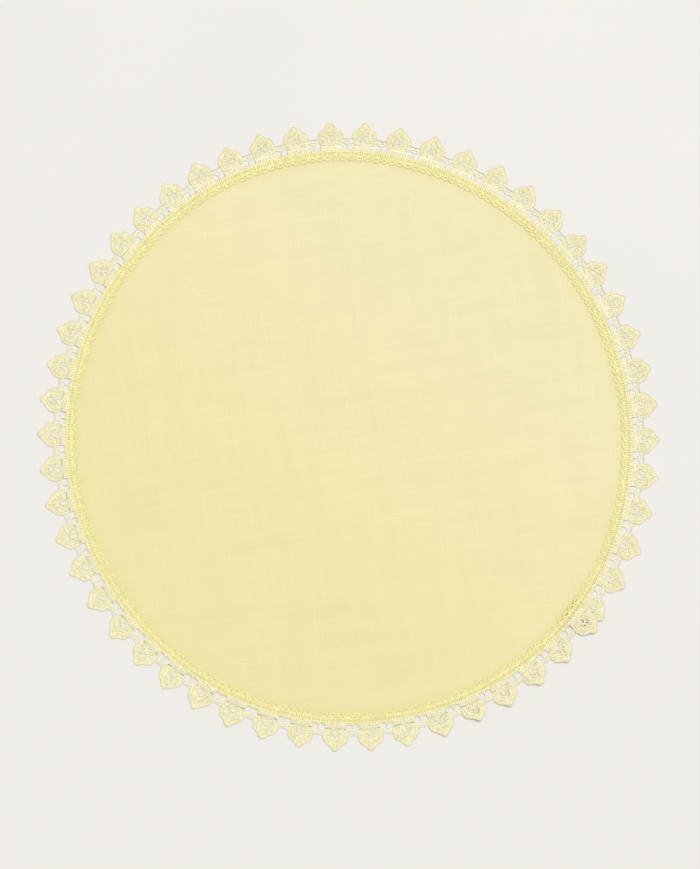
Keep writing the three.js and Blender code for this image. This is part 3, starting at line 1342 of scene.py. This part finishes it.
@dataclass
class BandDesign:
    """The lines of the lace between and below the heads, in millimetres.

    Attributes:
        sill: The short broad satin under each head: how far out, its half length and half width.
        edge_rail: The thin cord along the panel's edge: how far out, and its half width.
        top_rail: The rail just inside the panel's edge, given the same way.
        low_rail: The rail that carries the loops, given the same way.
        seam: The machine seam, given the same way.
        seam_rise: How far the seam lies above the other lines.
        rail_wobble: How far any point of a rail strays in or out.
        ties_per_head: How many bars join the two rails, for each head.
        tie_half_width: Half of such a bar's width.
        tie_wobble: How far such a bar strays along the lace, in shares of their spacing.
        feet: The bars between a head's base and the top rail: across, and out from and to.
        foot_half_width: Half of such a bar's width.
        bridge: The small ring between heads: its middle, half length, half height, half width.
        bridge_outline: The same darker cord over that ring, from head to head, which paints the shadow
            along it: across, out and half width.
        leg: The post under that ring: out from and to, and its half width.
        loops_per_head: How many loops hang on the low rail, for each head.
        loop: A loop: its middle, half length, half height, half width.
        loop_tie: The bar from the low rail to where two loops meet, given as a leg is.
        ring_wobble: How far a ring or loop strays from its place.
        ring_growth: How far it strays from its size, in shares of it.
    """

    sill: tuple = (1.5, 5.9, 1.7)
    edge_rail: tuple = (0.02, 0.28)
    top_rail: tuple = (-0.88, 0.6)
    low_rail: tuple = (-3.5, 0.58)
    seam: tuple = (-2.35, 0.2)
    seam_rise: float = 0.15
    rail_wobble: float = 0.05
    ties_per_head: int = 20
    tie_half_width: float = 0.4
    tie_wobble: float = 0.08
    feet: tuple = ((1.0, -0.9, 0.6), (3.0, -0.9, 0.6), (4.6, -0.9, 0.6), (6.1, -0.9, 3.4))
    foot_half_width: float = 0.26
    bridge: tuple = (4.75, 2.35, 0.85, 0.42)
    bridge_outline: tuple = (
        (-3.1, 7.2, 0.26), (-1.6, 6.95, 0.28), (0.0, 6.85, 0.28), (1.6, 6.95, 0.28), (3.1, 7.2, 0.26))
    leg: tuple = (-0.9, 3.8, 0.32)
    loops_per_head: int = 4
    loop: tuple = (-5.25, 2.03, 1.1, 0.54)
    loop_tie: tuple = (-3.7, -5.0, 0.42)
    ring_wobble: float = 0.1
    ring_growth: float = 0.04


@dataclass
class LaceEdging:
    """The lace edging: heads, bridges, rails and loops, and the seam that holds it on.

    Attributes:
        strip: How the flat lace is laid round the panel.
        head: The lines of a head.
        band: The lines between and below the heads.
        finish: The lace yarn's finish in the heads.
        band_shade_finish: A darker, yellower copy of the lace yarn where it lies on the linen, painting the
            shade in the band and the yellow light that the linen throws back.
        lit_rail_finish: A copy of the lace yarn for the outermost rail there, a little paler than the
            band's, painting the light that this rail catches.
        lit_fine_finish: A whiter copy of the lace yarn for the thin bars and sills, whose open work looks
            whiter, painting the light of the lit table through it.
        shadow_outline_finish: The darker finish of the cord round each head and over each bridge, a painted
            shadow at their edges.
        thread_finish: The sewing thread's finish.
        broad_satin: How the broad satin of the heads differs from a cord.
        beaded_cord: How the cords inside the heads differ.
        flat_rail: How the rails differ from a cord.
        flat_loop: How the loops differ from a cord.
        bed: How high the stitches' ends lie above the lace's underside.
        lift: How much higher the outlines lie, so that they stay clear of the table.
        fill_lift: The same for the broad satin.
        bar_lift: How much higher the thin bars lie than the cords they cross.
        ring_points: How many points draw a ring.
        bar_points: How many points draw a bar.
        sill_points: How many points draw a sill.
        rail_steps: How many steps a rail has, for each head.
        seed: The seed of the lace's small irregularities.
    """

    strip: LaceStrip
    head: HeadDesign = field(default_factory=HeadDesign)
    band: BandDesign = field(default_factory=BandDesign)
    finish: YarnFinish = YarnFinish(
        "lace_yarn", (0.955, 0.92, 0.675), (0.785, 0.725, 0.425), roughness=0.55, sheen=0.2)
    # Painted shade: a darker, yellower copy of the lace yarn for the band on the linen.
    band_shade_finish: YarnFinish = YarnFinish(
        "band_yarn_painted_shade", (0.95, 0.9, 0.49), (0.79, 0.725, 0.34), roughness=0.55, sheen=0.2)
    # Painted light: a paler copy of the band's yarn for the top rail.
    lit_rail_finish: YarnFinish = YarnFinish(
        "rail_yarn_painted_light", (0.935, 0.89, 0.585), (0.79, 0.74, 0.43), roughness=0.55, sheen=0.2)
    # Painted light: a whiter copy of the lace yarn, for the brightness of the lit table through the open
    # work.
    lit_fine_finish: YarnFinish = YarnFinish(
        "fine_yarn_painted_light", (0.945, 0.91, 0.665), (0.85, 0.81, 0.565), roughness=0.6, sheen=0.2)
    # Painted shadow: a darker copy of the lace yarn, for the cords that stand for the shade round the
    # heads.
    shadow_outline_finish: YarnFinish = YarnFinish(
        "outline_yarn_painted_shadow", (0.76, 0.72, 0.51), (0.685, 0.645, 0.435), roughness=0.6, sheen=0.15)
    thread_finish: YarnFinish = YarnFinish(
        "sewing_thread", (0.87, 0.82, 0.46), (0.78, 0.72, 0.37), roughness=0.5, sheen=0.1)
    broad_satin: dict = field(default_factory=lambda: {
        "Stitch Pitch": 0.55 * MM, "Thread Radius": 0.26 * MM,
        "Core Flatness": 0.08, "Highest Crown": 0.25 * MM})
    beaded_cord: dict = field(default_factory=lambda: {
        "Bead Length": 1.25 * MM, "Bead Depth": 0.4, "Highest Crown": 0.3 * MM})
    flat_rail: dict = field(default_factory=lambda: {
        "Bead Length": 1.5 * MM, "Bead Depth": 0.25, "Highest Crown": 0.2 * MM})
    flat_loop: dict = field(default_factory=lambda: {"Highest Crown": 0.22 * MM})
    bed: float = 0.2 * MM
    lift: float = 0.1 * MM
    fill_lift: float = 0.06 * MM
    bar_lift: float = 0.1 * MM
    ring_points: int = 12
    bar_points: int = 4
    sill_points: int = 7
    rail_steps: int = 8
    seed: int = 23

    def __post_init__(self) -> None:
        """Starts the lace's random draws and numbers its heads and the gaps between them."""
        self.draw = np.random.default_rng(self.seed)
        self.heads = range(self.strip.head_count)
        self.gaps = [head + 0.5 for head in self.heads[:-1]]

    @staticmethod
    def _both_halves(rows: tuple, closed: bool) -> np.ndarray:
        """Mirrors a right half to the left.

        Args:
            rows: Points on the right half, with the last, and on a closed line the first, on the middle.
            closed: Whether the line is closed.

        Returns:
            The whole line: across, out and half width, in metres.
        """
        right = np.array(rows) * MM
        left = right[-2::-1] * (Mirror.LEFT.value, 1, 1)
        return np.concatenate([right, left[:-1] if closed else left])

    def _head_cord(self, head: float, line: np.ndarray, rise: float = 0.0, closed: bool = False) -> Cord:
        """Puts a line of the head's design on one head, a little unevenly.

        Args:
            head: The head's place along the lace.
            line: Rows of across, out and half width, in metres.
            rise: How much higher than the stitches' bed it lies.
            closed: Whether the line is closed.

        Returns:
            The line as a cord.
        """
        across, out, half_width = line.T
        stray = self.draw.normal(scale=self.head.wobble * MM, size=(2, len(line)))
        out = out + stray[1]
        along = self.strip.on_head(head, across + stray[0], out)
        return Cord(along, out, half_width, self.bed + rise, closed)

    def _ring(self, middle: float, shape: tuple, head_width: bool) -> Cord:
        """Draws a small oval ring.

        Args:
            middle: Its place along the lace, in heads.
            shape: How far out its middle is, its half length, half height and half width.
            head_width: Whether its length is true at its own radius and not at the panel's edge.

        Returns:
            The ring as a closed cord.
        """
        out, length, height, width = (value * MM for value in shape)
        turn = np.linspace(0, math.tau, self.ring_points, endpoint=False)
        size = 1 + self.draw.normal(scale=self.band.ring_growth, size=2)
        shift = self.draw.normal(scale=self.band.ring_wobble * MM, size=2)
        across = shift[0] + length * size[0] * np.cos(turn)
        outward = out + shift[1] + height * size[1] * np.sin(turn)
        radius = outward if head_width else np.zeros_like(outward)
        along = self.strip.on_head(middle, across, radius)
        return Cord(along, outward, np.full_like(outward, width), self.bed, closed=True)

    def _bar(self, along: tuple, out: tuple, half_width: float, rise: float = 0.0) -> Cord:
        """Draws a short straight bar between two places.

        Args:
            along: Where it starts and ends along the lace, in heads.
            out: How far out it starts and ends, in millimetres.
            half_width: Half of its width, in millimetres.
            rise: How much higher than the stitches' bed it lies.

        Returns:
            The bar as a cord.
        """
        share = np.linspace(0, 1, self.bar_points)
        along, out = (start + (end - start) * share for start, end in (along, out))
        return Cord(along, out * MM, np.full_like(out, half_width * MM), self.bed + rise)

    def _post(self, place: float, post: tuple) -> Cord:
        """Draws a bar straight outward, from its place along and its row in the band's design."""
        return self._bar((place, place), post[:2], post[2])

    def _rail(self, rail: tuple, rise: float = 0.0) -> Cord:
        """Draws a rail from one end of the lace to the other.

        Args:
            rail: How far out it is, and its half width, in millimetres.
            rise: How much higher than the stitches' bed it lies.

        Returns:
            The rail as a cord.
        """
        out, half_width = rail
        steps = self.rail_steps * self.strip.head_count
        along = np.linspace(-0.5, self.strip.head_count - 0.5, steps + 1)
        uneven = self.draw.normal(scale=self.band.rail_wobble, size=len(along))
        return Cord(along, (out + uneven) * MM, np.full_like(along, half_width * MM), self.bed + rise)

    def rims(self) -> list[Cord]:
        """Draws the rim of every head."""
        line = self._both_halves(self.head.rim, closed=True)
        return [self._head_cord(head, line, closed=True) for head in self.heads]

    def outlines(self, rims: list[Cord]) -> list[Cord]:
        """Draws the thin cord over every bridge and along the outside of every rim.

        Args:
            rims: The heads' rims, which it follows.

        Returns:
            One cord from head to head over each bridge, and one round each head above those, both in a
            darker yarn that paints the shadow at their edges.
        """
        offset, half_width = (value * MM for value in self.head.outline)
        (low, high), shares = self.head.outline_taper
        skipped, left_out = self.head.outline_ends
        arc = np.array(self.band.bridge_outline) * MM
        cords = [self._head_cord(gap, arc, self.lift) for gap in self.gaps]
        for rim in rims:
            middle = rim.along.mean()
            pitch = (self.strip.outline.mean_radius + rim.out) * self.strip.pitch
            line = np.stack([(rim.along - middle) * pitch, rim.out])
            ahead = np.roll(line, -1, axis=1) - np.roll(line, 1, axis=1)
            line += offset * np.stack([-ahead[1], ahead[0]]) / np.hypot(ahead[0], ahead[1])
            line = np.roll(line, line.shape[1] // 2, axis=1)[:, skipped:-left_out]
            along = self.strip.on_head(middle, line[0], line[1])
            width = half_width * np.interp(line[1], (low * MM, high * MM), shares)
            cords.append(Cord(along, line[1], width, self.bed + self.lift))
        return cords

    def fills(self) -> list[Cord]:
        """Draws the broad satin of every head.

        Returns:
            Three cords for each head: its right half, its left half, and the vein between them.
        """
        half = np.array(self.head.fill) * MM
        lines = [*(half * (side.value, 1, 1) for side in Mirror), np.array(self.head.vein) * MM]
        return [self._head_cord(head, line, self.fill_lift) for head in self.heads for line in lines]

    def inner_cords(self) -> list[Cord]:
        """Draws what stands in every head's opening.

        Returns:
            Two cords for each head: the raised one round the opening, and the small leaf.
        """
        arch = self._both_halves(self.head.opening, closed=False)
        leaf = self._both_halves(self.head.leaf, closed=True)
        cords = []
        for head in self.heads:
            cords.append(self._head_cord(head, arch, self.head.opening_rise * MM))
            cords.append(self._head_cord(head, leaf, closed=True))
        return cords

    def sills(self) -> list[Cord]:
        """Draws the short broad satin under every head.

        Returns:
            One cord for each head.
        """
        out, length, width = (value * MM for value in self.band.sill)
        across = np.linspace(-length, length, self.sill_points)
        line = np.column_stack([across, np.full_like(across, out), np.full_like(across, width)])
        return [self._head_cord(head, line) for head in self.heads]

    def head_bars(self) -> list[Cord]:
        """Draws the thin bars of every head.

        Returns:
            For each half of a head, the spokes in its opening, the bar beside it and its feet.
        """
        cords = []
        for head in self.heads:
            for side in Mirror:
                for spoke in (*self.head.spokes, self.head.bride):
                    ends = np.array(spoke).reshape(2, 2) * (side.value, 1)
                    across, out = (ends + self.draw.normal(scale=self.head.bar_wobble, size=(2, 2))).T
                    along = self.strip.on_head(head, across * MM, out * MM)
                    cords.append(self._bar(along, out, self.head.bar_half_width, self.bar_lift))
                for across, low, high in self.band.feet:
                    place = self.strip.on_head(head, side.value * across * MM, low * MM)
                    foot = self._bar((place, place), (low, high), self.band.foot_half_width, self.bar_lift)
                    cords.append(foot)
        return cords

    def ties(self) -> list[Cord]:
        """Draws the thin lines of the band.

        Returns:
            The cord along the panel's edge, the bars between loops, and those between the rails.
        """
        band, count = self.band, self.strip.head_count
        cords = [self._rail(band.edge_rail)]
        for joint in range(1, count * band.loops_per_head):
            cords.append(self._post(joint / band.loops_per_head - 0.5, band.loop_tie))
        ends = (band.top_rail[0], band.low_rail[0])
        for step in range(count * band.ties_per_head):
            place = (step + 0.5 + self.draw.normal(scale=band.tie_wobble)) / band.ties_per_head - 0.5
            cords.append(self._bar((place, place), ends, band.tie_half_width, self.bar_lift))
        return cords

    def bridges(self) -> list[Cord]:
        """Draws what joins the heads.

        Returns:
            A ring and its post between every two heads.
        """
        cords = []
        for gap in self.gaps:
            cords.append(self._ring(gap, self.band.bridge, head_width=True))
            cords.append(self._post(gap, self.band.leg))
        return cords

    def loops(self) -> list[Cord]:
        """Draws the chain of loops along the inner edge.

        Returns:
            The loops, as rings that touch.
        """
        per_head = self.band.loops_per_head
        places = [(loop + 0.5) / per_head - 0.5 for loop in range(self.strip.head_count * per_head)]
        return [self._ring(place, self.band.loop, head_width=False) for place in places]

    def build(self, groups: Groups) -> list[Object]:
        """Works every piece of the lace.

        Args:
            groups: The shader node groups that the yarns share.

        Returns:
            The finished objects.
        """
        satin, bar, machine = SatinTree(), BarTree(), SeamTree()
        finishes = (self.finish, self.band_shade_finish, self.lit_rail_finish, self.lit_fine_finish, self.shadow_outline_finish,
                    self.thread_finish)
        yarn, band, pale, fine, edge, thread = ({"Yarn": finish.make(groups)} for finish in finishes)
        top_rail, low_rail = ([self._rail(rail)] for rail in (self.band.top_rail, self.band.low_rail))
        rims = self.rims()
        orders = (
            ("lace_head_rims", satin, rims, yarn),
            # Painted shadow: the outlines are darker cords laid where the heads and bridges meet their
            # shade.
            ("lace_outlines_painted_shadow", bar, self.outlines(rims), edge),
            ("lace_head_fills", satin, self.fills(), {**yarn, **self.broad_satin}),
            ("lace_head_leaves", satin, self.inner_cords(), {**yarn, **self.beaded_cord}),
            # Painted light: fine is the whiter copy of the lace yarn for the bars, sills and bridges.
            ("lace_head_bars", bar, self.head_bars(), fine),
            ("lace_sills", satin, self.sills(), {**fine, **self.broad_satin}),
            ("lace_bridges", satin, self.bridges(), {**fine, **self.flat_loop}),
            # Painted light: pale is the paler copy of the lace yarn for the top rail.
            ("lace_top_rail", satin, top_rail, {**pale, **self.flat_rail}),
            # Painted shade: band is the darker, yellower copy of the lace yarn.
            ("lace_low_rail", satin, low_rail, {**band, **self.flat_rail}),
            ("lace_loops", satin, self.loops(), {**band, **self.flat_loop}),
            ("lace_ties", bar, self.ties(), band),
            ("lace_seam", machine, [self._rail(self.band.seam, self.band.seam_rise * MM)], thread),
        )
        return [tree.work(name, cords, self.strip, values) for name, tree, cords, values in orders]


@dataclass
class Studio:
    """The pale table, the soft light and the camera straight above.

    Attributes:
        table: The table top's finish.
        table_size: The table top's width.
        fill: How bright the light from all round is.
        fill_colour: That light's colour.
        key_power: The power of the light from the upper right.
        key_size: The width of that light.
        key_distance: How far it is from the mat.
        key_height: Its angle above the table.
        key_heading: Where it stands, counted from the right.
        lens: The camera's lens, in millimetres.
        sensor: The camera's sensor, in millimetres.
        view_height: The length of table that the picture's height takes in.
        aim: The place on the table in the middle of the picture.
    """

    table: Finish = Finish("pale_table", (0.727, 0.707, 0.677), (0.717, 0.698, 0.667), 0.7, 0.0)
    table_size: float = 6.0
    fill: float = 0.555
    fill_colour: tuple = (1.0, 0.995, 0.985, 1.0)
    key_power: float = 1270.0
    key_size: float = 6.5
    key_distance: float = 13.0
    key_height: float = math.radians(68)
    key_heading: float = math.radians(60)
    lens: float = 85.0
    sensor: float = 36.0
    view_height: float = 526.6 * MM
    aim: tuple = (0.6 * MM, 1.5 * MM)

    def build(self, groups: Groups) -> None:
        """Makes the table, the lights and the camera.

        Args:
            groups: The shader node groups that the table's finish uses.
        """
        self._table(groups)
        self._lights()
        self._camera()

    def _table(self, groups: Groups) -> None:
        """Makes the table top.

        Args:
            groups: The shader node groups that its finish uses.
        """
        half = self.table_size / 2
        corners = [(-half, -half, 0.0), (half, -half, 0.0), (half, half, 0.0), (-half, half, 0.0)]
        mesh = bpy.data.meshes.new("table_top")
        mesh.from_pydata(corners, [], [(0, 1, 2, 3)])
        mesh.materials.append(self.table.make(groups))
        link_piece("table_top", mesh)

    def _lights(self) -> None:
        """Makes the light from all round and the key light."""
        world = bpy.data.worlds.new("soft_studio")
        world.use_nodes = True
        background = world.node_tree.nodes["Background"]
        background.inputs["Color"].default_value = self.fill_colour
        background.inputs["Strength"].default_value = self.fill
        bpy.context.scene.world = world
        light = bpy.data.lights.new("key_light", "AREA")
        light.energy = self.key_power
        light.size = self.key_size
        lamp = bpy.data.objects.new("key_light", light)
        level = math.cos(self.key_height)
        heading = Vector((level * math.cos(self.key_heading), level * math.sin(self.key_heading),
                          math.sin(self.key_height)))
        lamp.location = heading * self.key_distance
        lamp.rotation_euler = heading.to_track_quat("Z", "Y").to_euler()
        bpy.context.scene.collection.objects.link(lamp)

    def _camera(self) -> None:
        """Makes the camera, looking straight down."""
        camera = bpy.data.cameras.new("camera")
        camera.lens = self.lens
        camera.sensor_width = self.sensor
        view = bpy.data.objects.new("camera", camera)
        view.location = (*self.aim, self.view_height * self.lens / self.sensor)
        bpy.context.scene.collection.objects.link(view)
        bpy.context.scene.camera = view
        bpy.context.scene.view_settings.view_transform = "Standard"


def main() -> None:
    """Builds the studio, the linen and the lace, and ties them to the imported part."""
    logging.basicConfig(level=logging.INFO, format="%(name)s: %(message)s")
    groups = Groups(FibreGrain(), SoftMottle(), PlainWeave())
    Studio().build(groups)
    outline = PanelOutline()
    panel = LinenPanel(outline)
    linen = panel.build()
    panel.dress(linen, groups)
    seat_piece(linen, "linen_panel")
    lace = LaceEdging(LaceStrip(outline)).build(groups)
    for piece in lace:
        seat_piece(piece, "lace_edging")


if __name__ == "__main__":
    main()
